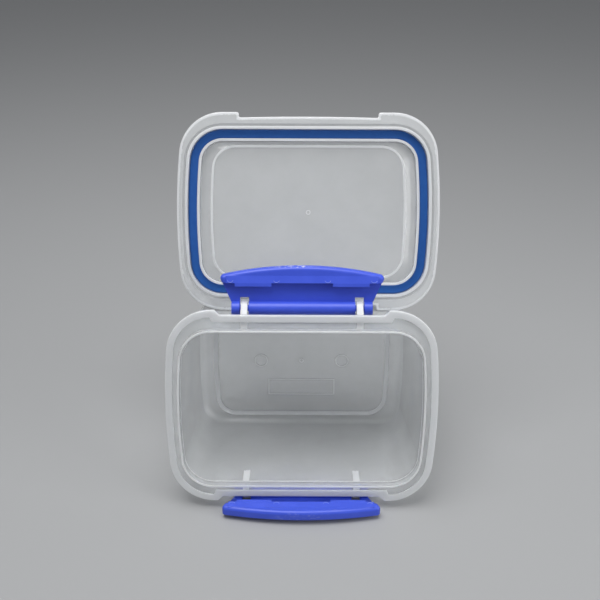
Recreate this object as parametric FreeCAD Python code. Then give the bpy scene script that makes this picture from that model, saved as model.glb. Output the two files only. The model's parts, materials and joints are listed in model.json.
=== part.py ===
import FreeCAD
import Part
import math
import os

# A clip-lid food box with its lid off: the tub lies on its long wall with the mouth to the front,
# and the lid stands on the wall that is uppermost. Sizes are millimetres, angles are degrees.
# Each piece is modelled with the box shut and upright, x along it, z up and the rim's plane at 0.

# Plan of the rim, which the lid shares
rim_length = 200.0
rim_width = 149.8
rim_corner = 33.0
end_bow_radius = 466.0

# Flange round the mouth
flange_thickness = 1.5
bead_width = 5.2
bead_height = 1.0
skirt_height = 3.0
skirt_wall = 1.8
rim_round = 0.7

# Tub wall, floor and foot
lip_height = 5.0
lip_inset_end = 9.3
lip_inset_side = 13.5
lip_corner = 24.0
lip_round = 0.6
wall = 1.8
wall_draft = 2.1
tub_depth = 105.0
floor_thickness = 2.0
floor_round = 5.5
foot_inset_end = 11.0
foot_inset_side = 5.9
foot_corner = 17.0
foot_band = 3.6
foot_height = 1.6
foot_groove_depth = 0.8

# Moulding marks on the tub floor and under the lid: a plain frame, rings and nubs
mark_height = 0.3
mark_line = 0.7
frame_length = 56.0
frame_width = 14.0
frame_offset = 23.5
ejector_radius = 5.5
ejector_spacing = 68.0
gate_radius = 1.8

# Pivot of the clips and the hooks that hold it
pivot_drop = 12.0
pin_radius = 2.2
pin_clearance = 0.08
hook_proud = 0.2
hook_width = 4.8
hook_end_gap = 9.2
hook_rib_height = 17.0
hook_snap = 0.6

# Clip
clip_width = 101.6
clip_plate = 2.4
barrel_radius = 4.8
plate_gap = 0.9
clip_shoulder_height = 3.0
clip_lip_overhang = 8.0
lip_flank_rise = 2.3
lip_end_rise = 3.0
lip_bow_rise = 6.8
clip_lip_thickness = 7.4
clip_corner_round = 2.9
clip_outer_round = 1.2
clip_grip_round = 2.8
catch_end_inset = 4.4
catch_slope_height = 5.3
catch_wall = 2.0
catch_hollow_height = 3.8
catch_rib = 1.6
catch_rib_spacing = 36.0
slot_clearance = 0.8
slot_height = 7.5
tooth_length = 26.3
tooth_end_gap = 2.5
tooth_height = 2.5
tooth_overlap = 1.2
latch_gap = 0.3

# Notches in the flange and recesses in the lid where the clips pass
notch_side_gap = 8.2
notch_taper = 3.8
notch_depth = 3.6
notch_round = 2.0
recess_side_gap = 1.8
recess_depth = 4.0
recess_crown = 0.75
recess_round = 1.5

# Lid
lid_seat_gap = 0.2
lid_flange = 2.0
lid_edge_wall = 1.8
latch_height = 3.7
groove_gap = 0.9
groove_wall = 2.2
rib_drop = 0.9
relief_width = 2.0
relief_depth = 0.8
plug_wall = 2.0
plug_recess = 2.0
lid_wall = 1.8
panel_height = 4.6
panel_line = 1.6
panel_line_height = 0.5
stack_gap = 0.8
lid_top_round = 1.2

# Seal in the lid's groove
seal_width = 6.8
seal_thickness = 3.2
seal_squeeze = 0.4
seal_side_gap = 0.05
seal_round = 1.2

# How the pieces lie: angles of the clips are counted from shut
front_clip_open = 6.0
rear_clip_open = 95.0
lid_lean = 10.0
lid_foot_depth = 54.6
lid_side_shift = 4.5
lid_stand_gap = 0.3

# Sizes that follow from those above
overshoot = 1.0
slope = math.tan(math.radians(wall_draft))
rim_plan = (rim_length / 2, rim_width / 2, rim_corner)
lip_plan = (rim_length / 2 - lip_inset_end, rim_width / 2 - lip_inset_side, lip_corner)
plate_top = -bead_height
plate_bottom = plate_top - flange_thickness
floor_bottom = -tub_depth - floor_thickness
foot_bottom = floor_bottom - foot_height
pivot_y = rim_width / 2 + plate_gap + clip_plate - barrel_radius
pivot_z = -pivot_drop
hook_outer_radius = barrel_radius + hook_proud
hook_x = clip_width / 2 - hook_end_gap
tooth_x = clip_width / 2 - tooth_end_gap - tooth_length / 2
clip_lip_width = clip_width + 2 * clip_lip_overhang
notch_half = clip_width / 2 + notch_side_gap + notch_taper
recess_half = clip_width / 2 + recess_side_gap
groove_depth = lip_height - lid_seat_gap + seal_thickness - seal_squeeze
lid_top = groove_depth + lid_wall
tooth_reach = pivot_y - (rim_width / 2 - recess_depth - tooth_overlap)
tooth_bottom = pivot_drop + lid_seat_gap + latch_height + latch_gap
catch_bottom = tooth_bottom + tooth_height
clip_flank_top = catch_bottom + lip_flank_rise
clip_end_top = clip_flank_top + lip_end_rise
clip_tip = clip_end_top + lip_bow_rise


def inset(plan, by):
    """The same plan drawn in all round by one distance."""
    half_x, half_y, corner = plan
    return (half_x - by, half_y - by, corner - by)


def tub_plan(height, depth_in_wall=0.0):
    """Plan of the drafted tub wall at one height, on its outside or that far into it."""
    return inset(lip_plan, (lip_height - height) * slope + depth_in_wall)


def plan_wire(plan, height):
    """Outline with straight long sides, bowed ends and round corners."""
    half_x, half_y, corner = plan
    bow = end_bow_radius - (rim_length / 2 - half_x)
    bow_x = half_x - bow
    round_y = half_y - corner
    round_x = bow_x + math.sqrt((bow - corner) ** 2 - round_y ** 2)
    end_angle = math.atan2(round_y, round_x - bow_x)
    bend_angle = (end_angle + math.pi / 2) / 2
    tip = (half_x, 0)
    end = (bow_x + bow * math.cos(end_angle), bow * math.sin(end_angle))
    bend = (round_x + corner * math.cos(bend_angle), round_y + corner * math.sin(bend_angle))
    side = (round_x, half_y)

    def at(point, sign_x, sign_y):
        return FreeCAD.Vector(sign_x * point[0], sign_y * point[1], height)

    curves = []
    for sign in (1, -1):
        curves.append(Part.Arc(at(end, sign, -sign), at(tip, sign, sign), at(end, sign, sign)))
        curves.append(Part.Arc(at(end, sign, sign), at(bend, sign, sign), at(side, sign, sign)))
        curves.append(Part.LineSegment(at(side, sign, sign), at(side, -sign, sign)))
        curves.append(Part.Arc(at(side, -sign, sign), at(bend, -sign, sign), at(end, -sign, sign)))
    return Part.Wire([curve.toShape() for curve in curves])


def slab(plan, low, high):
    """Upright block of one plan."""
    return Part.Face(plan_wire(plan, low)).extrude(FreeCAD.Vector(0, 0, high - low))


def ring(outer, inner, low, high):
    """Upright band between two plans."""
    return slab(outer, low, high).cut(slab(inner, low, high))


def taper(low_plan, low, high_plan, high):
    """Block that changes evenly from one plan to another."""
    return Part.makeLoft([plan_wire(low_plan, low), plan_wire(high_plan, high)], True, True)


def block(low, high):
    """Box between two corners."""
    size = [b - a for a, b in zip(low, high)]
    return Part.makeBox(size[0], size[1], size[2], FreeCAD.Vector(*low))


def prism_along_x(points, width):
    """Block of one (y, z) section, centred on x = 0."""
    corners = [FreeCAD.Vector(-width / 2, y, z) for y, z in points]
    face = Part.Face(Part.makePolygon(corners + corners[:1]))
    return face.extrude(FreeCAD.Vector(width, 0, 0))


def rod_along_x(radius, width, y, z):
    """Round rod centred on x = 0."""
    return Part.makeCylinder(radius, width, FreeCAD.Vector(-width / 2, y, z), FreeCAD.Vector(1, 0, 0))


def level_edges(shape, height):
    """Edges that lie wholly at one height."""
    box = [(edge, edge.BoundBox) for edge in shape.Edges]
    return [edge for edge, b in box if abs(b.ZMin - height) < 1e-4 and abs(b.ZMax - height) < 1e-4]


def upright_edges(shape, reach):
    """Straight edges that run up the shape, out to one distance along it."""
    box = [(edge, edge.BoundBox) for edge in shape.Edges]
    return [edge for edge, b in box if b.XLength + b.YLength < 1e-4 and abs(b.XMin) < reach]


def both_sides(shape):
    """A shape on the rear side and its twin turned to the front."""
    twin = shape.copy()
    twin.rotate(FreeCAD.Vector(0, 0, 0), FreeCAD.Vector(0, 0, 1), 180)
    return [shape, twin]


def floor_ring(outer_radius, x, y, base):
    """Thin raised ring of the kind an ejector or a gate leaves."""
    centre = FreeCAD.Vector(x, y, base)
    disc = Part.makeCylinder(outer_radius, mark_height, centre)
    return disc.cut(Part.makeCylinder(outer_radius - mark_line, mark_height, centre))


def notch(grow, low, high):
    """Cutter for one flange notch on the rear side, grown by one distance."""
    outer_half = notch_half + grow
    inner_half = outer_half - notch_taper
    inner_y = rim_width / 2 - notch_depth - grow
    outer_y = rim_width / 2 + overshoot
    lean = notch_taper / notch_depth * (outer_y - rim_width / 2)
    corners = [
        FreeCAD.Vector(-inner_half, inner_y, low),
        FreeCAD.Vector(inner_half, inner_y, low),
        FreeCAD.Vector(outer_half + lean, outer_y, low),
        FreeCAD.Vector(-outer_half - lean, outer_y, low),
    ]
    face = Part.Face(Part.makePolygon(corners + corners[:1]))
    return face.extrude(FreeCAD.Vector(0, 0, high - low))


def hook():
    """Hook of the tub at x = 0 on the rear side: a rib on the wall that curls over the clip's pin."""
    rib_bottom = plate_bottom - hook_rib_height
    wall_top = tub_plan(plate_bottom, wall / 2)[1]
    wall_bottom = tub_plan(rib_bottom, wall / 2)[1]
    shoulder = hook_outer_radius * math.sqrt(0.5)
    rib = prism_along_x([
        (wall_top, plate_bottom),
        (rim_width / 2 - notch_depth - rim_round, plate_bottom),
        (pivot_y + shoulder, pivot_z + shoulder),
        (pivot_y, pivot_z),
        (pivot_y - hook_outer_radius, pivot_z),
        (wall_bottom, rib_bottom),
    ], hook_width)
    curl = rod_along_x(hook_outer_radius, hook_width, pivot_y, pivot_z)
    seat = rod_along_x(pin_radius + pin_clearance, hook_width, pivot_y, pivot_z)
    mouth_half = pin_radius - hook_snap / 2
    mouth = block(
        (-hook_width / 2, pivot_y - mouth_half, pivot_z - hook_outer_radius - overshoot),
        (hook_width / 2, pivot_y + mouth_half, pivot_z),
    )
    return rib.fuse(curl).cut(seat).cut(mouth)


def flange():
    """Flange plate with its bead on top, skirt below and notches for the clips."""
    body = slab(rim_plan, -skirt_height, 0)
    for cutter in both_sides(notch(0, -skirt_height - overshoot, overshoot)):
        body = body.cut(cutter)
    body = body.makeFillet(notch_round, upright_edges(body, notch_half + overshoot))
    body = body.makeFillet(rim_round, level_edges(body, 0))
    channel = slab(inset(rim_plan, bead_width), plate_top, overshoot)
    for cutter in both_sides(notch(bead_width, plate_top, overshoot)):
        channel = channel.cut(cutter)
    hollow = slab(inset(rim_plan, skirt_wall), -skirt_height - overshoot, plate_bottom)
    return body.cut(channel).cut(hollow)


def container_tub():
    """Tub moulded in one with its flange, hooks and foot."""
    outside = taper(tub_plan(floor_bottom), floor_bottom, lip_plan, lip_height)
    outside = outside.makeFillet(floor_round + floor_thickness, level_edges(outside, floor_bottom))
    inside_top = lip_height + overshoot
    inside = taper(tub_plan(-tub_depth, wall), -tub_depth, tub_plan(inside_top, wall), inside_top)
    inside = inside.makeFillet(floor_round, level_edges(inside, -tub_depth))
    body = outside.fuse(flange())
    for x in (-hook_x, hook_x):
        for arm in both_sides(hook()):
            body = body.fuse(arm.translated(FreeCAD.Vector(x, 0, 0)))
    body = body.cut(inside)
    body = body.makeFillet(lip_round, level_edges(body, lip_height))
    return add_floor_details(body)


def foot_plan():
    """Outer plan of the foot ring under the floor."""
    half_x, half_y, _ = tub_plan(-tub_depth, wall)
    return (half_x - foot_inset_end, half_y - foot_inset_side, foot_corner)


def add_floor_details(body):
    """Foot ring, the groove above it and the plain moulding marks of the floor."""
    foot = foot_plan()
    body = body.fuse(ring(foot, inset(foot, foot_band), foot_bottom, floor_bottom))
    groove_bottom = -tub_depth - foot_groove_depth
    body = body.cut(ring(foot, inset(foot, foot_band), groove_bottom, -tub_depth))
    for x in (-ejector_spacing / 2, ejector_spacing / 2):
        body = body.fuse(floor_ring(ejector_radius, x, 0, -tub_depth))
    body = body.fuse(floor_ring(gate_radius, 0, 0, -tub_depth))
    half = (frame_length / 2, frame_width / 2)
    top = mark_height - tub_depth
    frame = block((-half[0], -half[1], -tub_depth), (half[0], half[1], top))
    inner = [size - mark_line for size in half]
    frame = frame.cut(block((-inner[0], -inner[1], -tub_depth), (inner[0], inner[1], top)))
    return body.fuse(frame.translated(FreeCAD.Vector(0, -frame_offset, 0))).removeSplitter()


def recess(grow, low, high):
    """Cutter for one lid recess on the rear side, with its crowned floor, grown by one distance."""
    half = recess_half + grow
    end_y = rim_width / 2 - recess_depth - grow
    outer_y = rim_width / 2 + overshoot

    def at(x, y):
        return FreeCAD.Vector(x, y, low)

    curves = [
        Part.Arc(at(-half, end_y), at(0, end_y + recess_crown), at(half, end_y)),
        Part.LineSegment(at(half, end_y), at(half, outer_y)),
        Part.LineSegment(at(half, outer_y), at(-half, outer_y)),
        Part.LineSegment(at(-half, outer_y), at(-half, end_y)),
    ]
    face = Part.Face(Part.Wire([curve.toShape() for curve in curves]))
    return face.extrude(FreeCAD.Vector(0, 0, high - low))


def groove_plan():
    """Outer plan of the lid's seal groove, which clears the tub's lip."""
    return inset(lip_plan, -groove_gap)


def lid():
    """Lid, shut: turned-up edge, groove for the lip and seal, and a sunk panel for stacking."""
    groove_outer = groove_plan()
    groove_inner = inset(groove_outer, seal_width)
    plug = inset(groove_inner, plug_wall)
    crest = inset(groove_outer, -groove_wall)
    foot = foot_plan()
    panel = inset(foot, -stack_gap)
    under_panel = inset(panel, lid_wall * slope)

    edge = slab(rim_plan, 0, latch_height)
    gutter = slab(inset(rim_plan, lid_edge_wall), lid_flange, latch_height)
    for cutter in both_sides(recess(0, -overshoot, latch_height + overshoot)):
        edge = edge.cut(cutter)
    for cutter in both_sides(recess(lid_edge_wall, lid_flange, latch_height)):
        gutter = gutter.cut(cutter)
    edge = edge.makeFillet(recess_round, upright_edges(edge, recess_half + overshoot))
    edge = edge.makeFillet(rim_round, level_edges(edge, 0) + level_edges(edge, latch_height))
    edge = edge.cut(gutter)
    edge = edge.cut(ring(inset(crest, -relief_width), crest, 0, relief_depth))

    dome = slab(crest, -rib_drop, lid_top)
    dome = dome.makeFillet(lid_top_round, level_edges(dome, lid_top))
    body = edge.fuse(dome)
    body = body.cut(taper(panel, panel_height + lid_wall, inset(plug, -lid_wall / 2), lid_top))
    body = body.cut(ring(groove_outer, groove_inner, -rib_drop, groove_depth))
    body = body.cut(slab(groove_inner, -rib_drop, plug_recess))
    body = body.cut(slab(plug, plug_recess, panel_height))
    hollow = slab(plug, panel_height, groove_depth)
    body = body.cut(hollow.cut(taper(under_panel, panel_height, plug, groove_depth)))

    line_low = panel_height - panel_line_height
    body = body.fuse(ring(under_panel, inset(under_panel, panel_line), line_low, panel_height))
    body = body.fuse(floor_ring(gate_radius, 0, 0, panel_height - mark_height))
    return body.removeSplitter().translated(FreeCAD.Vector(0, 0, lid_seat_gap))


def lid_seal():
    """Soft ring at the bottom of the lid's groove, with rounded inner edges."""
    outer = inset(groove_plan(), seal_side_gap)
    inner = inset(groove_plan(), seal_width - seal_side_gap)
    low = groove_depth - seal_thickness
    band = ring(outer, inner, low, groove_depth)
    band = band.makeFillet(seal_round, level_edges(band, low))
    return band.translated(FreeCAD.Vector(0, 0, lid_seat_gap))


def clip_blank():
    """Clip before its inside is shaped: straight at the barrel, widening to a lip with a bowed edge."""
    half = clip_width / 2
    lip_half = clip_lip_width / 2
    inner_y = barrel_radius - clip_lip_thickness

    def at(x, z):
        return FreeCAD.Vector(x, inner_y, z)

    right = [
        at(half, 0),
        at(half, clip_shoulder_height),
        at(lip_half, clip_flank_top),
        at(lip_half, clip_end_top),
    ]
    left = [FreeCAD.Vector(-point.x, point.y, point.z) for point in reversed(right)]
    lines = [Part.LineSegment(a, b).toShape() for a, b in zip(right, right[1:])]
    lines.append(Part.Arc(right[-1], at(0, clip_tip), left[0]).toShape())
    lines += [Part.LineSegment(a, b).toShape() for a, b in zip(left, left[1:] + right[:1])]
    body = Part.Face(Part.Wire(lines)).extrude(FreeCAD.Vector(0, clip_lip_thickness, 0))
    corners = [
        edge for edge in body.Edges
        if edge.BoundBox.XLength + edge.BoundBox.ZLength < 1e-4 and edge.BoundBox.ZMin > barrel_radius
    ]
    body = body.makeFillet(clip_corner_round, corners)
    for y, radius in ((inner_y, clip_grip_round), (barrel_radius, clip_outer_round)):
        bowed_edges = [
            edge for edge in body.Edges
            if edge.BoundBox.ZMin > clip_flank_top and edge.BoundBox.XLength > clip_lip_width / 2
            and abs(edge.BoundBox.YMin - y) + abs(edge.BoundBox.YMax - y) < 1e-4
        ]
        body = body.makeFillet(radius, bowed_edges)
    return body


def catch_section(wall_thickness, height):
    """Section of the catch from its lower edge up, that far behind its sloping face."""
    face = barrel_radius - clip_lip_thickness
    lean = (face + tooth_reach) / catch_slope_height
    front = wall_thickness - tooth_reach
    return [(front, catch_bottom), (front + lean * height, catch_bottom + height)]


def clip():
    """One clip, shut, in its own frame: pin along x at the origin, outward +y, shut +z."""
    inner = barrel_radius - clip_plate
    face = barrel_radius - clip_lip_thickness
    body = clip_blank()
    body = body.cut(block((-clip_lip_width, face, 0), (clip_lip_width, inner, catch_bottom)))
    catch_width = clip_lip_width - 2 * catch_end_inset
    body = body.fuse(prism_along_x(
        catch_section(0, catch_slope_height)
        + [(inner, catch_bottom + catch_slope_height), (inner, catch_bottom)],
        catch_width,
    ))
    hollow = prism_along_x(
        catch_section(catch_wall, catch_hollow_height)
        + [(inner, catch_bottom + catch_hollow_height), (inner, catch_bottom)],
        catch_width - 2 * catch_wall,
    )
    for x in (-catch_rib_spacing / 2, catch_rib_spacing / 2):
        hollow = hollow.cut(block(
            (x - catch_rib / 2, -tooth_reach, catch_bottom),
            (x + catch_rib / 2, inner, catch_bottom + catch_hollow_height),
        ))
    body = body.cut(hollow)
    for x in (-tooth_x, tooth_x):
        body = body.fuse(block(
            (x - tooth_length / 2, -tooth_reach, tooth_bottom),
            (x + tooth_length / 2, catch_wall - tooth_reach, catch_bottom),
        ))
    body = body.fuse(rod_along_x(barrel_radius, clip_width, 0, 0))
    slot_half = hook_width / 2 + slot_clearance
    for x in (-hook_x, hook_x):
        slot = block(
            (x - slot_half, -barrel_radius - overshoot, -barrel_radius - overshoot),
            (x + slot_half, barrel_radius + overshoot, slot_height),
        )
        pin = rod_along_x(pin_radius, 2 * slot_half, 0, 0)
        body = body.cut(slot).fuse(pin.translated(FreeCAD.Vector(x, 0, 0)))
    return body.removeSplitter()


def opened(angle, to_front):
    """Place of a clip on its pivot, turned open by an angle, on the rear or the front side."""
    turn = FreeCAD.Rotation(FreeCAD.Vector(1, 0, 0), -angle)
    seat = FreeCAD.Placement(FreeCAD.Vector(0, pivot_y, pivot_z), turn)
    side = FreeCAD.Rotation(FreeCAD.Vector(0, 0, 1), 180 if to_front else 0)
    return FreeCAD.Placement(FreeCAD.Vector(0, 0, 0), side) * seat


def standing_lid():
    """Place of the lid on end: turned over, leaning back, its edge just clear of the rear wall."""
    over = FreeCAD.Rotation(FreeCAD.Vector(1, 0, 0), 180 - lid_lean)
    turned = FreeCAD.Placement(FreeCAD.Vector(0, 0, 0), over)
    foot = turned.multVec(FreeCAD.Vector(0, rim_width / 2, latch_height + lid_seat_gap))
    wall_y = tub_plan(-lid_foot_depth)[1] + lid_stand_gap
    turned.Base = FreeCAD.Vector(lid_side_shift, wall_y - foot.y, -lid_foot_depth - foot.z)
    return turned


def lying_tub():
    """Place of the whole box on its front wall: hooks and floor edge both touch the surface."""
    edge_radius = floor_round + floor_thickness
    edge_z = floor_bottom + edge_radius
    edge_y = tub_plan(edge_z)[1] - edge_radius / math.cos(math.radians(wall_draft))
    span = math.hypot(pivot_y - edge_y, pivot_z - edge_z)
    tilt = math.atan2(pivot_y - edge_y, pivot_z - edge_z)
    tilt -= math.asin((edge_radius - hook_outer_radius) / span)
    turn = FreeCAD.Rotation(FreeCAD.Vector(1, 0, 0), 90 - math.degrees(tilt))
    place = FreeCAD.Placement(FreeCAD.Vector(0, 0, 0), turn)
    hook_low = place.multVec(FreeCAD.Vector(0, -pivot_y, pivot_z)).z - hook_outer_radius
    place.Base = FreeCAD.Vector(0, 0, -hook_low)
    return place


def placed(shape, place):
    """Copy of a shape moved to its place."""
    copy = shape.copy()
    copy.Placement = place.multiply(copy.Placement)
    return copy


def assemble():
    """All pieces as they lie, with the origin under the middle of the whole."""
    lying = lying_tub()
    pieces = {
        "container_tub": placed(container_tub(), lying),
        "lid": placed(lid(), lying * standing_lid()),
        "lid_seal": placed(lid_seal(), lying * standing_lid()),
        "front_clip": placed(clip(), lying * opened(front_clip_open, True)),
        "rear_clip": placed(clip(), lying * opened(rear_clip_open, False)),
    }
    bounds = Part.makeCompound(list(pieces.values())).optimalBoundingBox(False, False)
    centre = FreeCAD.Vector(-bounds.Center.x, -bounds.Center.y, 0)
    return {name: shape.translated(centre) for name, shape in pieces.items()}, lying, centre


pieces, lying, centre = assemble()
os.makedirs("parts", exist_ok=True)
for name, shape in pieces.items():
    shape.exportStep("parts/" + name + ".step")
    print(name, len(shape.Solids), "solid,", round(shape.Volume / 1000, 2), "cm3, valid", shape.isValid())
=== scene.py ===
# %% [markdown]
# # A clip-lid lunch box
# The box lies open on its long wall, with its loose lid standing on the wall that is uppermost. The
# measured model already has every piece in its place, so this lesson adds what measuring leaves out: how
# milky plastic lets light through, how a moulded clip shines, where it gets scuffed, with painted glints
# there, and small pale half rings on its clips.

# %% Load the measured model
import json
import math

import bmesh
import bpy
from mathutils import Matrix, Vector
from mathutils.bvhtree import BVHTree
from mathutils.geometry import barycentric_transform


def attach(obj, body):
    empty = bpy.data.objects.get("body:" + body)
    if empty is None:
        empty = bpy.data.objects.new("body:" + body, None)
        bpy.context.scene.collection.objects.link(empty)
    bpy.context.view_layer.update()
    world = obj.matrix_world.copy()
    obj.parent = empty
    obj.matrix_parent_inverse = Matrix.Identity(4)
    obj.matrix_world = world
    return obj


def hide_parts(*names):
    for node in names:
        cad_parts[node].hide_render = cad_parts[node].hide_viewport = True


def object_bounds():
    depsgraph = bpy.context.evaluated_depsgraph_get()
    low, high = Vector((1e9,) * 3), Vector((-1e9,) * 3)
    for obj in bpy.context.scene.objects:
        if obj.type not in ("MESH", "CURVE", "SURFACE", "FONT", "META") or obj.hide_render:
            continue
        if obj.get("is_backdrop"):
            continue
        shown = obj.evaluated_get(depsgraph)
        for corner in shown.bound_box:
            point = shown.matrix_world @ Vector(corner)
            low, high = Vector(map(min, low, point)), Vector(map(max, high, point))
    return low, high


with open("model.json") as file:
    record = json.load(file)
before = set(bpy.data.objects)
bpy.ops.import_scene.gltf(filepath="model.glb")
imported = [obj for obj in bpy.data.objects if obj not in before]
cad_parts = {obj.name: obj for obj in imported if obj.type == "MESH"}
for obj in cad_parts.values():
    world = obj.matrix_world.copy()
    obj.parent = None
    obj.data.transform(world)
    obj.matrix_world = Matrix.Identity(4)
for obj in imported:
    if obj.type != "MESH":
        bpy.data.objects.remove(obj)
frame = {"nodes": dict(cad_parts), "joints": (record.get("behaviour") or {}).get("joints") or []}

cad_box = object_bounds()
print("measured nodes:", ", ".join(sorted(frame["nodes"])))

# %% [markdown]
# ## Where the tub points
# The tub lies with its mouth tipped a little up, so its own directions are not those of the room. They
# could be typed in as angles, but the two clip pivots already tell them: one lies straight across the tub
# from the other.

# %% Directions of the tub
pivots = {joint["name"]: Vector(joint["pos_m"]) for joint in frame["joints"] if "pos_m" in joint}
front_pivot = pivots["front_clip_pivot"]
rear_pivot = pivots["rear_clip_pivot"]
rim_above_pivots = 0.012
along = Vector((1, 0, 0))
across = (rear_pivot - front_pivot).normalized()
outward = along.cross(across)
rim_centre = (front_pivot + rear_pivot) / 2 + outward * rim_above_pivots
print("rim centre", [round(value, 4) for value in rim_centre])

# %% [markdown]
# ## Camera
# The picture was taken from in front, looking into the mouth and a little down on it. A camera could be
# aimed by eye, but its place was worked out from the rim, the floor and the lid together, so it is given
# here from the rim's centre, in the tub's own directions.

# %% Camera at the photograph's angle
camera_sideways = -0.0015
camera_above = 0.2572
camera_distance = 0.6119
look_down = math.radians(15.9)
camera_roll = math.radians(0.23)
lens_mm = 54
sensor_mm = 36

camera_place = rim_centre + along * camera_sideways + across * camera_above + outward * camera_distance
look = -(math.sin(look_down) * across + math.cos(look_down) * outward)
camera_up = math.cos(look_down) * across - math.sin(look_down) * outward
camera_data = bpy.data.cameras.new("camera")
camera_data.lens = lens_mm
camera_data.sensor_width = sensor_mm
camera = bpy.data.objects.new("camera", camera_data)
turn = Matrix((along, camera_up, -look)).transposed().to_4x4()
camera.matrix_world = Matrix.Translation(camera_place) @ turn @ Matrix.Rotation(camera_roll, 4, "Z")
bpy.context.scene.collection.objects.link(camera)
bpy.context.scene.camera = camera
print("camera looks down by", round(math.degrees(math.asin(-look.z)), 1), "degrees")

# %% [markdown]
# ## Patterns behind a finish
# Each finish is a Principled shader with patterns behind it. Painted images would do, but noise has no
# seams and no limit of sharpness. All patterns read Object coordinates, which are metres here, so a noise
# scale of 500 means grains of about two millimetres.

# %% Pattern helpers
def start_material(name):
    """A new material, its node tree, its Principled shader and its Object coordinates."""
    material = bpy.data.materials.new(name)
    material.use_nodes = True
    tree = material.node_tree
    place = tree.nodes.new("ShaderNodeTexCoord")
    return material, tree, tree.nodes["Principled BSDF"], place.outputs["Object"]


def noise(tree, place, scale, detail, stretch=(1, 1, 1)):
    """Noise from 0 to 1, drawn out along an axis where stretch is under 1 there."""
    mapping = tree.nodes.new("ShaderNodeMapping")
    mapping.inputs["Scale"].default_value = stretch
    tree.links.new(place, mapping.inputs["Vector"])
    texture = tree.nodes.new("ShaderNodeTexNoise")
    texture.inputs["Scale"].default_value = scale
    texture.inputs["Detail"].default_value = detail
    tree.links.new(mapping.outputs["Vector"], texture.inputs["Vector"])
    return texture.outputs["Fac"]


def remap(tree, value, low, high, to_low, to_high):
    """The value spread from one range over another and held inside it."""
    node = tree.nodes.new("ShaderNodeMapRange")
    for name, number in (("From Min", low), ("From Max", high), ("To Min", to_low), ("To Max", to_high)):
        node.inputs[name].default_value = number
    tree.links.new(value, node.inputs["Value"])
    return node.outputs["Result"]


def combine(tree, operation, first, second):
    """One Math node on two values."""
    node = tree.nodes.new("ShaderNodeMath")
    node.operation = operation
    tree.links.new(first, node.inputs[0])
    tree.links.new(second, node.inputs[1])
    return node.outputs["Value"]


print("pattern helpers ready")

# %% [markdown]
# ## Colour and surface of a finish
# A pattern becomes a colour by running it through a ramp or by mixing two colours with it. It becomes a
# grain through a bump, whose depth is a real one. Edges that a mould leaves round are rounded in the
# shading alone, because the measured solids keep many of theirs sharp.

# %% Colour and surface helpers
edge_samples = 6


def two_tone(tree, pattern, dark, light):
    """A colour that goes from dark to light with a pattern."""
    ramp = tree.nodes.new("ShaderNodeValToRGB")
    ramp.color_ramp.elements[0].color = dark
    ramp.color_ramp.elements[1].color = light
    tree.links.new(pattern, ramp.inputs["Fac"])
    return ramp.outputs["Color"]


def mixed_colour(tree, amount, first, second):
    """Two colours mixed by a value from 0 to 1; each is a colour or a socket."""
    node = tree.nodes.new("ShaderNodeMix")
    node.data_type = "RGBA"
    tree.links.new(amount, node.inputs["Factor"])
    for socket, colour in ((node.inputs[6], first), (node.inputs[7], second)):
        if isinstance(colour, tuple):
            socket.default_value = colour
        else:
            tree.links.new(colour, socket)
    return node.outputs[2]


def rounded_edges(tree, radius):
    """Normal that rounds sharp edges off, as a mould does."""
    node = tree.nodes.new("ShaderNodeBevel")
    node.samples = edge_samples
    node.inputs["Radius"].default_value = radius
    return node.outputs["Normal"]


def relief(tree, shader, height, depth, strength):
    """Bump of a real depth in metres on the shader's normal."""
    bump = tree.nodes.new("ShaderNodeBump")
    bump.inputs["Strength"].default_value = strength
    bump.inputs["Distance"].default_value = depth
    tree.links.new(height, bump.inputs["Height"])
    tree.links.new(bump.outputs["Normal"], shader.inputs["Normal"])
    return bump


print("colour and surface helpers ready")

# %% [markdown]
# ## Milky polypropylene
# Tub and lid are natural polypropylene. A thin wall of it is nearly clear, while light that runs along a
# rib, a lip or a rim scatters on its way and makes that edge glow white. A volume shader could follow the
# light inside, but it is slow and noisy in walls this thin. So the mesh carries a value named milk,
# measured further down, and milk decides how much light passes straight and how much wanders below the
# surface, which carries it from one side of the wall to the other. A see-through shader still throws the
# shadow of a solid one, so rays on their way to a lamp meet a grey transparent shader instead. Washing adds
# a soft haze.

# %% Milky plastic
plastic_ior = 1.49
clear_tint = (0.90, 0.92, 0.93, 1)
milky_tint = (0.78, 0.795, 0.81, 1)
clear_passes = 0.80
milky_passes = 0.22
light_wanders = 0.004
clear_lets_through = (0.55, 0.55, 0.55, 1)
milky_lets_through = (0.25, 0.25, 0.25, 1)
usual_noise = (0.35, 0.7)
haze_grain = 24
haze_passes = 0.96
smear_grain = 90
smear_stretch = (1, 0.5, 0.5)
milky_roughness = (0.11, 0.17)


def let_lamps_through(tree, shader, milk):
    """Put a grey transparent shader in the place of the shader for rays on their way to a lamp."""
    for_lamps = tree.nodes.new("ShaderNodeBsdfTransparent")
    shade = mixed_colour(tree, milk, clear_lets_through, milky_lets_through)
    tree.links.new(shade, for_lamps.inputs["Color"])
    ray = tree.nodes.new("ShaderNodeLightPath")
    chosen = tree.nodes.new("ShaderNodeMixShader")
    tree.links.new(ray.outputs["Is Shadow Ray"], chosen.inputs["Fac"])
    tree.links.new(shader.outputs["BSDF"], chosen.inputs[1])
    tree.links.new(for_lamps.outputs["BSDF"], chosen.inputs[2])
    tree.links.new(chosen.outputs["Shader"], tree.nodes["Material Output"].inputs["Surface"])


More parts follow.
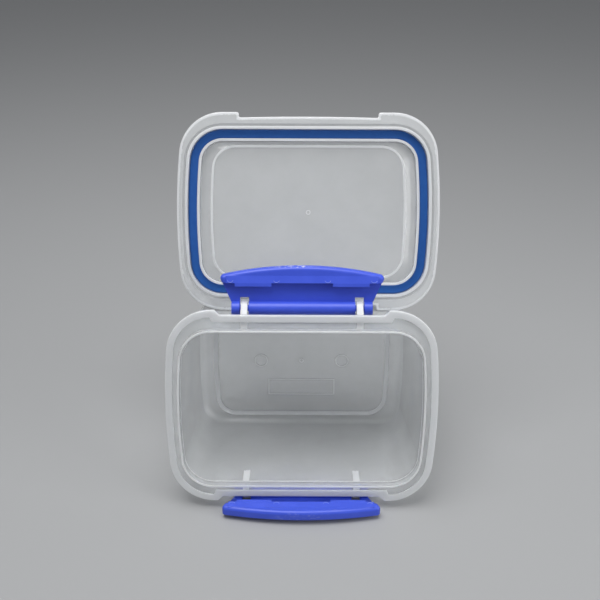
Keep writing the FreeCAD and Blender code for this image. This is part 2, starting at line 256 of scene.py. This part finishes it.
def milky_plastic():
    """Plastic that is clear or milky by the mesh's own milk."""
    material, tree, shader, place = start_material("milky_polypropylene")
    shader.inputs["IOR"].default_value = plastic_ior
    shader.inputs["Subsurface Weight"].default_value = 1
    shader.inputs["Subsurface Radius"].default_value = (1, 1, 1)
    shader.inputs["Subsurface Scale"].default_value = light_wanders
    attribute = tree.nodes.new("ShaderNodeAttribute")
    attribute.attribute_name = "milk"
    milk = attribute.outputs["Fac"]
    tree.links.new(mixed_colour(tree, milk, clear_tint, milky_tint), shader.inputs["Base Color"])
    passes = remap(tree, milk, 0, 1, clear_passes, milky_passes)
    haze = remap(tree, noise(tree, place, haze_grain, detail=4), *usual_noise, 1, haze_passes)
    tree.links.new(combine(tree, "MULTIPLY", passes, haze), shader.inputs["Transmission Weight"])
    smear = noise(tree, place, smear_grain, detail=4, stretch=smear_stretch)
    tree.links.new(remap(tree, smear, *usual_noise, *milky_roughness), shader.inputs["Roughness"])
    let_lamps_through(tree, shader, milk)
    return material


milky = milky_plastic()
print("made", milky.name)

# %% [markdown]
# ## Blue clip plastic
# The clips are the same kind of plastic with a strong violet-blue pigment. The gloss is broken by a fine
# moulding grain, and the edge of the lip has pale flecks: scuffs, which are partly a painted highlight
# where white glints show on the lit edge. Their place could be painted on, but the distance from the nearer
# pivot finds that edge on both clips. The front clip, whose edge lies in shade, has fewer.

# %% Blue plastic
clip_blues = ((0.040, 0.082, 0.60, 1), (0.058, 0.112, 0.76, 1))
# Pale flecks on the lip's edge: scuffs, partly a painted highlight where white glints show on the lit edge.
scuff_and_glint_colour = (0.70, 0.74, 0.86, 1)
cloud_grain = 60
cloud_noise = (0.3, 0.7)
clip_roughness = (0.32, 0.42)
lip_edge = (0.0296, 0.0306)
past_front_clip = (0.05, 0.06)
# The front clip's edge lies in shade, so it gets few of the flecks and their painted glints.
shaded_front_clip_share = 0.1
fleck_grain = 700
fleck_stretch = (0.45, 1, 1)
fleck_noise = (0.54, 0.62)
scuff_and_glint_strength = 0.85
patch_grain = 45
patch_noise = (0.42, 0.52)
mould_grain = 1800
mould_depth = 0.00002
mould_strength = 0.25
clip_edge_radius = 0.0005


def distance_from_pivot(tree, place, pivot):
    """Distance of a point from one pivot, which runs along x."""
    offset = tree.nodes.new("ShaderNodeVectorMath")
    offset.operation = "SUBTRACT"
    offset.inputs[1].default_value = pivot
    tree.links.new(place, offset.inputs[0])
    flat = tree.nodes.new("ShaderNodeVectorMath")
    flat.operation = "MULTIPLY"
    flat.inputs[1].default_value = (0, 1, 1)
    tree.links.new(offset.outputs["Vector"], flat.inputs[0])
    length = tree.nodes.new("ShaderNodeVectorMath")
    length.operation = "LENGTH"
    tree.links.new(flat.outputs["Vector"], length.inputs[0])
    return length.outputs["Value"]


def scuffs_and_painted_glints(tree, place):
    """How scuffed a point is, with painted glints, from 0 to 1: in patches along the edge of the lip."""
    from_front = distance_from_pivot(tree, place, front_pivot)
    reach = combine(tree, "MINIMUM", from_front, distance_from_pivot(tree, place, rear_pivot))
    share = remap(tree, from_front, *past_front_clip, shaded_front_clip_share, 1)
    at_edge = combine(tree, "MULTIPLY", share, remap(tree, reach, *lip_edge, 0, 1))
    speckle = noise(tree, place, fleck_grain, detail=2, stretch=fleck_stretch)
    flecks = remap(tree, speckle, *fleck_noise, 0, scuff_and_glint_strength)
    patches = remap(tree, noise(tree, place, patch_grain, detail=1), *patch_noise, 0, 1)
    return combine(tree, "MULTIPLY", combine(tree, "MULTIPLY", at_edge, flecks), patches)


def blue_plastic():
    """Glossy blue with a fine grain, and scuffs with painted glints on the lip's edge."""
    material, tree, shader, place = start_material("royal_blue_plastic")
    shader.inputs["IOR"].default_value = plastic_ior
    cloud = noise(tree, place, cloud_grain, detail=3)
    # The pale flecks mixed in here are scuffs and, in part, a painted highlight.
    worn_and_glinting = mixed_colour(tree, scuffs_and_painted_glints(tree, place), two_tone(tree, cloud, *clip_blues), scuff_and_glint_colour)
    tree.links.new(worn_and_glinting, shader.inputs["Base Color"])
    tree.links.new(remap(tree, cloud, *cloud_noise, *clip_roughness), shader.inputs["Roughness"])
    grain = noise(tree, place, mould_grain, detail=2)
    bump = relief(tree, shader, grain, mould_depth, mould_strength)
    tree.links.new(rounded_edges(tree, clip_edge_radius), bump.inputs["Normal"])
    return material


blue = blue_plastic()
print("made", blue.name)

# %% [markdown]
# ## Soft seal
# The ring in the lid is silicone, a greener blue than the clips and far less shiny. One noise stands for
# lint and for what washing leaves: it dulls the ring, and it changes its colour and its surface with it.

# %% Silicone
silicone_ior = 1.42
seal_blues = ((0.008, 0.075, 0.32, 1), (0.015, 0.110, 0.40, 1))
lint_grain = 320
lint_noise = (0.3, 0.7)
seal_roughness = (0.42, 0.6)
lint_depth = 0.00004
lint_strength = 0.3


def seal_silicone():
    """Dull blue silicone with lint on it."""
    material, tree, shader, place = start_material("cobalt_silicone")
    shader.inputs["IOR"].default_value = silicone_ior
    lint = noise(tree, place, lint_grain, detail=4)
    tree.links.new(two_tone(tree, lint, *seal_blues), shader.inputs["Base Color"])
    tree.links.new(remap(tree, lint, *lint_noise, *seal_roughness), shader.inputs["Roughness"])
    relief(tree, shader, lint, lint_depth, lint_strength)
    return material


silicone = seal_silicone()
print("made", silicone.name)

# %% [markdown]
# ## How deep the plastic is
# The milky finish needs to know how much plastic lies behind each point. It could be painted on by hand,
# but a ray can measure it: it is sent into the plastic until it comes out again. A short way means clear, a
# long way means milky.

# %% Measure the depth
deepest = 0.03
just_inside = 2e-5
towards_middle = 0.15


def milk_finder(source, thin, thick):
    """A function for how milky the plastic is below a point of the source, from 0 to 1."""
    points = [vertex.co for vertex in source.vertices]
    solid = BVHTree.FromPolygons(points, [polygon.vertices for polygon in source.polygons])

    def milk(point, normal):
        far_side = solid.ray_cast(point - normal * just_inside, -normal, deepest)[3]
        depth = deepest if far_side is None else far_side
        return min(max((depth - thin) / (thick - thin), 0), 1)

    return milk


def milk_in(face, normal, milk):
    """Milk just inside each corner of a triangle."""
    middle = face.calc_center_median()
    return [milk(corner.co.lerp(middle, towards_middle), normal) for corner in face.verts]


print("depth is followed for up to", deepest * 1000, "mm")

# %% [markdown]
# ## Small triangles
# A measured solid has large triangles on its flat faces, too large to carry a pattern on their corners. A
# copy is merged, cut where flange and hooks meet the wall behind, and halved until its edges are short. A
# triangle whose corners disagree about their milk is then divided once more, which gives the milky bands
# clean edges.

# %% Divide a copy
longest_edge = 0.005
finest_edge = 0.0012
halvings = 4
refinings = 2
visible_step = 0.2
same_point = 1e-7


def split(shape, edges):
    """Halve some edges of a mesh of triangles; a lone halved edge is joined to the corner across."""
    bmesh.ops.subdivide_edges(shape, edges=edges, cuts=1, use_single_edge=True)
    bmesh.ops.triangulate(shape, faces=[face for face in shape.faces if len(face.verts) > 3])


def divided(source, planes, milk):
    """A copy of a mesh cut into small triangles, each of which knows the triangle it came from."""
    normals = [polygon.normal.copy() for polygon in source.polygons]
    shape = bmesh.new()
    shape.from_mesh(source)
    origin = shape.faces.layers.int.new("origin")
    for face in shape.faces:
        face[origin] = face.index
        face.smooth = True
    bmesh.ops.remove_doubles(shape, verts=shape.verts, dist=same_point)
    for place, facing in planes:
        everything = shape.verts[:] + shape.edges[:] + shape.faces[:]
        bmesh.ops.bisect_plane(shape, geom=everything, dist=same_point, plane_co=place, plane_no=facing)
    for halving in range(halvings):
        split(shape, [edge for edge in shape.edges if edge.calc_length() > longest_edge])
    for refining in range(refinings):
        uneven = {}
        for face in shape.faces:
            values = milk_in(face, normals[face[origin]], milk)
            if max(values) - min(values) > visible_step:
                uneven.update((edge, True) for edge in face.edges if edge.calc_length() > finest_edge)
        split(shape, list(uneven))
        print("refining", refining + 1, "leaves", len(shape.faces), "triangles")
    return shape


print("edges are halved to", longest_edge * 1000, "mm")

# %% [markdown]
# ## A copy that shades as before
# Cutting a curved face into more flat triangles would show facets, because each new corner has no shading
# of its own. Smoothing it afresh would blur the sharp edges. So every new corner takes its shading from its
# place in the old triangle, and its milk from the ray.

# %% Dress the copy
def mesh_from(shape, name):
    """The mesh of a finished bmesh."""
    mesh = bpy.data.meshes.new(name)
    shape.to_mesh(mesh)
    shape.free()
    return mesh


def dressed_mesh(source, planes, milk):
    """The divided copy with the source's shading and its milk on every corner."""
    shape = divided(source, planes, milk)
    origin = shape.faces.layers.int["origin"]
    shades = [normal.vector.copy() for normal in source.corner_normals]
    corner_shades = []
    corner_milk = []
    for face in shape.faces:
        old = source.polygons[face[origin]]
        triangle = [source.vertices[index].co for index in old.vertices]
        old_shades = [shades[index] for index in old.loop_indices]
        for corner in face.verts:
            shade = barycentric_transform(corner.co, *triangle, *old_shades)
            corner_shades.append(shade.normalized())
        corner_milk += milk_in(face, old.normal, milk)
    shape.faces.layers.int.remove(origin)
    mesh = mesh_from(shape, source.name + "_fine")
    mesh.normals_split_custom_set(corner_shades)
    layer = mesh.attributes.new("milk", "FLOAT", "CORNER")
    layer.data.foreach_set("value", corner_milk)
    return mesh


print("dressing helpers ready")

# %% [markdown]
# ## Tub and lid
# Both are copies of the measured solids that carry their milk. The tub's wall and floor are clear up to two
# millimetres and its bead, lip, hooks and foot ring are thicker. The lid is thinner all over, so it turns
# milky sooner. The tub is cut at the top and bottom of its flange and along its hooks, whose edges show
# through the wall.

# %% Milky shells
tub_clear_to_milky = (0.00205, 0.0025)
lid_clear_to_milky = (0.00182, 0.0024)
flange_levels = (-0.0010, -0.0025)
hook_sides = (0.0392, 0.0440)


def add_piece(name, mesh, material):
    """A new object at the origin that wears one material."""
    mesh.materials.append(material)
    piece = bpy.data.objects.new(name, mesh)
    bpy.context.scene.collection.objects.link(piece)
    return piece


tub_planes = [(rim_centre + outward * level, outward) for level in flange_levels]
tub_planes += [(rim_centre + along * side * sign, along) for side in hook_sides for sign in (1, -1)]
shells = (
    ("container_tub", "tub_shell", "tub", tub_planes, tub_clear_to_milky),
    ("lid", "lid_shell", "lid", [], lid_clear_to_milky),
)
for node, name, body, planes, depths in shells:
    source = frame["nodes"][node].data
    mesh = dressed_mesh(source, planes, milk_finder(source, *depths))
    piece = add_piece(name, mesh, milky)
    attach(piece, body)
    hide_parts(node)
    print(name, "has", len(mesh.polygons), "triangles")

# %% [markdown]
# ## Finishes on the other pieces
# Clips and seal are not see-through, so their solids already look right: each keeps its mesh and only gets
# its finish, in the material slot that is there.

# %% Dress the clips and the seal
finishes = {"lid_seal": silicone, "front_clip": blue, "rear_clip": blue}
for node, material in finishes.items():
    frame["nodes"][node].material_slots[0].material = material
    print(node, "wears", material.name)

# %% [markdown]
# ## Pale half rings on the clips
# On the sloping catch each clip shows small half rings that are paler than the rest of it. They could be
# painted on, but a ridge also catches the light. So a small circle is spun into half a ring, and it gets a
# paler blue of its own.

# %% One mark and its finish
# The half rings are a paler blue than the rest of the clip.
pale_ring_blues = ((0.10, 0.16, 0.72, 1), (0.30, 0.38, 0.86, 1))
pale_ring_grain = 600
pale_ring_roughness = 0.4
mark_radius = 0.0022
mark_ridge = 0.0002
mark_sides = 8
mark_turn = math.radians(140)
mark_start = math.radians(200)
mark_steps = 14


def pale_ring_plastic():
    """Blue plastic that is paler than the rest of the clip."""
    material, tree, shader, place = start_material("pale_ring_blue_plastic")
    pattern = noise(tree, place, pale_ring_grain, detail=2)
    tree.links.new(two_tone(tree, pattern, *pale_ring_blues), shader.inputs["Base Color"])
    shader.inputs["Roughness"].default_value = pale_ring_roughness
    return material


def half_ring():
    """A thin half ring in the xy plane, its gap upwards."""
    middle = (0, 0, 0)
    shape = bmesh.new()
    bmesh.ops.create_circle(shape, segments=mark_sides, radius=mark_ridge)
    upright = Matrix.Rotation(math.pi / 2, 3, "X")
    bmesh.ops.rotate(shape, verts=shape.verts, cent=middle, matrix=upright)
    bmesh.ops.translate(shape, verts=shape.verts, vec=(mark_radius, 0, 0))
    to_start = Matrix.Rotation(mark_start, 3, "Z")
    bmesh.ops.rotate(shape, verts=shape.verts, cent=middle, matrix=to_start)
    bmesh.ops.spin(
        shape, geom=shape.verts[:] + shape.edges[:], cent=middle, axis=(0, 0, 1),
        angle=mark_turn, steps=mark_steps,
    )
    bmesh.ops.holes_fill(shape, edges=[edge for edge in shape.edges if edge.is_boundary], sides=0)
    bmesh.ops.recalc_face_normals(shape, faces=shape.faces)
    for face in shape.faces:
        face.smooth = len(face.verts) == 4
    return mesh_from(shape, "half_ring")


pale_ring_finish = pale_ring_plastic()
ring = half_ring()
print("made", pale_ring_finish.name, "and a half ring of", len(ring.polygons), "faces")

# %% [markdown]
# ## Laying the marks on the catches
# Four marks lie in a row on each catch. They could be placed by eye, but the clip's own directions are
# known: they are those of the tub, turned by how far the clip stands open, and the front clip faces the
# other way.

# %% Marks on both clips
mark_places = (-0.0515, -0.0184, 0.0184, 0.0515)
catch_low = Vector((0, -0.0037, 0.0187))
catch_high = Vector((0, -0.0026, 0.0240))
front_open = math.radians(6)
rear_open = math.radians(95)


def catch_frame(pivot, side, open_angle):
    """Place of the middle of a catch: x along it, y up its slope, z out of it."""
    out = side * across * math.cos(open_angle) - outward * math.sin(open_angle)
    lip = side * across * math.sin(open_angle) + outward * math.cos(open_angle)
    clip_turn = Matrix((side * along, out, lip)).transposed()
    row = Vector((1, 0, 0))
    slope = (catch_high - catch_low).normalized()
    face_turn = Matrix((row, slope, row.cross(slope))).transposed()
    middle = pivot + clip_turn @ ((catch_low + catch_high) / 2)
    return Matrix.Translation(middle) @ (clip_turn @ face_turn).to_4x4()


clips = (("front_clip", front_pivot, -1, front_open), ("rear_clip", rear_pivot, 1, rear_open))
for clip, pivot, side, open_angle in clips:
    shape = bmesh.new()
    for place in mark_places:
        before = len(shape.verts)
        shape.from_mesh(ring)
        bmesh.ops.translate(shape, verts=shape.verts[:][before:], vec=(place, 0, 0))
    bmesh.ops.transform(shape, verts=shape.verts, matrix=catch_frame(pivot, side, open_angle))
    piece = add_piece(clip + "_marks", mesh_from(shape, clip + "_marks"), pale_ring_finish)
    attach(piece, clip)
    print(piece.name, "has", len(piece.data.polygons), "faces")

# %% [markdown]
# ## Floor
# A plain light grey floor that runs far back is all the stage the box needs. White paper would do too, but
# milky rims would be lost on it.

# %% Floor
floor_half = 8.0
paper_grey = (0.38, 0.385, 0.39, 1)
paper_roughness = 0.8

paper, _, paper_shader, _ = start_material("pale_paper")
paper_shader.inputs["Base Color"].default_value = paper_grey
paper_shader.inputs["Roughness"].default_value = paper_roughness
sheet = bmesh.new()
bmesh.ops.create_grid(sheet, x_segments=1, y_segments=1, size=floor_half)
floor = add_piece("floor", mesh_from(sheet, "floor"), paper)
floor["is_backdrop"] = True
print("floor", 2 * floor_half, "m wide")

# %% [markdown]
# ## Light
# One broad lamp overhead stands for a soft box, a weaker one fills from the side, and a grey sky keeps the
# shadows open. A single small lamp would be simpler, but it would draw hard lines through the clear walls.

# %% Lamps and sky
box_middle = Vector((0, 0, 0.12))
soft_box_place = Vector((-0.15, -0.14, 1.25))
soft_box_size = 0.9
soft_box_watts = 13.5
side_fill_place = Vector((1.0, -0.5, 0.55))
side_fill_size = 0.7
side_fill_watts = 5
sky_grey = (0.55, 0.56, 0.58, 1)
sky_strength = 0.46


def soft_lamp(name, place, aim, size, watts):
    """A square lamp that faces a point."""
    data = bpy.data.lights.new(name, "AREA")
    data.shape = "SQUARE"
    data.size = size
    data.energy = watts
    lamp = bpy.data.objects.new(name, data)
    facing = (aim - place).to_track_quat("-Z", "Y").to_matrix().to_4x4()
    lamp.matrix_world = Matrix.Translation(place) @ facing
    bpy.context.scene.collection.objects.link(lamp)


soft_lamp("soft_box", soft_box_place, box_middle, soft_box_size, soft_box_watts)
soft_lamp("side_fill", side_fill_place, box_middle, side_fill_size, side_fill_watts)
sky = bpy.data.worlds.new("grey_sky")
sky.use_nodes = True
background = sky.node_tree.nodes["Background"]
background.inputs["Color"].default_value = sky_grey
background.inputs["Strength"].default_value = sky_strength
bpy.context.scene.world = sky
bpy.context.scene.view_settings.view_transform = "Standard"
print("two lamps of", soft_box_watts, "and", side_fill_watts, "W and a grey sky")

# %% Compare sizes and finish
sizes = {"cad": cad_box, "visual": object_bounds()}
{name: [list(corner) for corner in box] for name, box in sizes.items()}
print("corners of the finished box:", sizes["visual"])
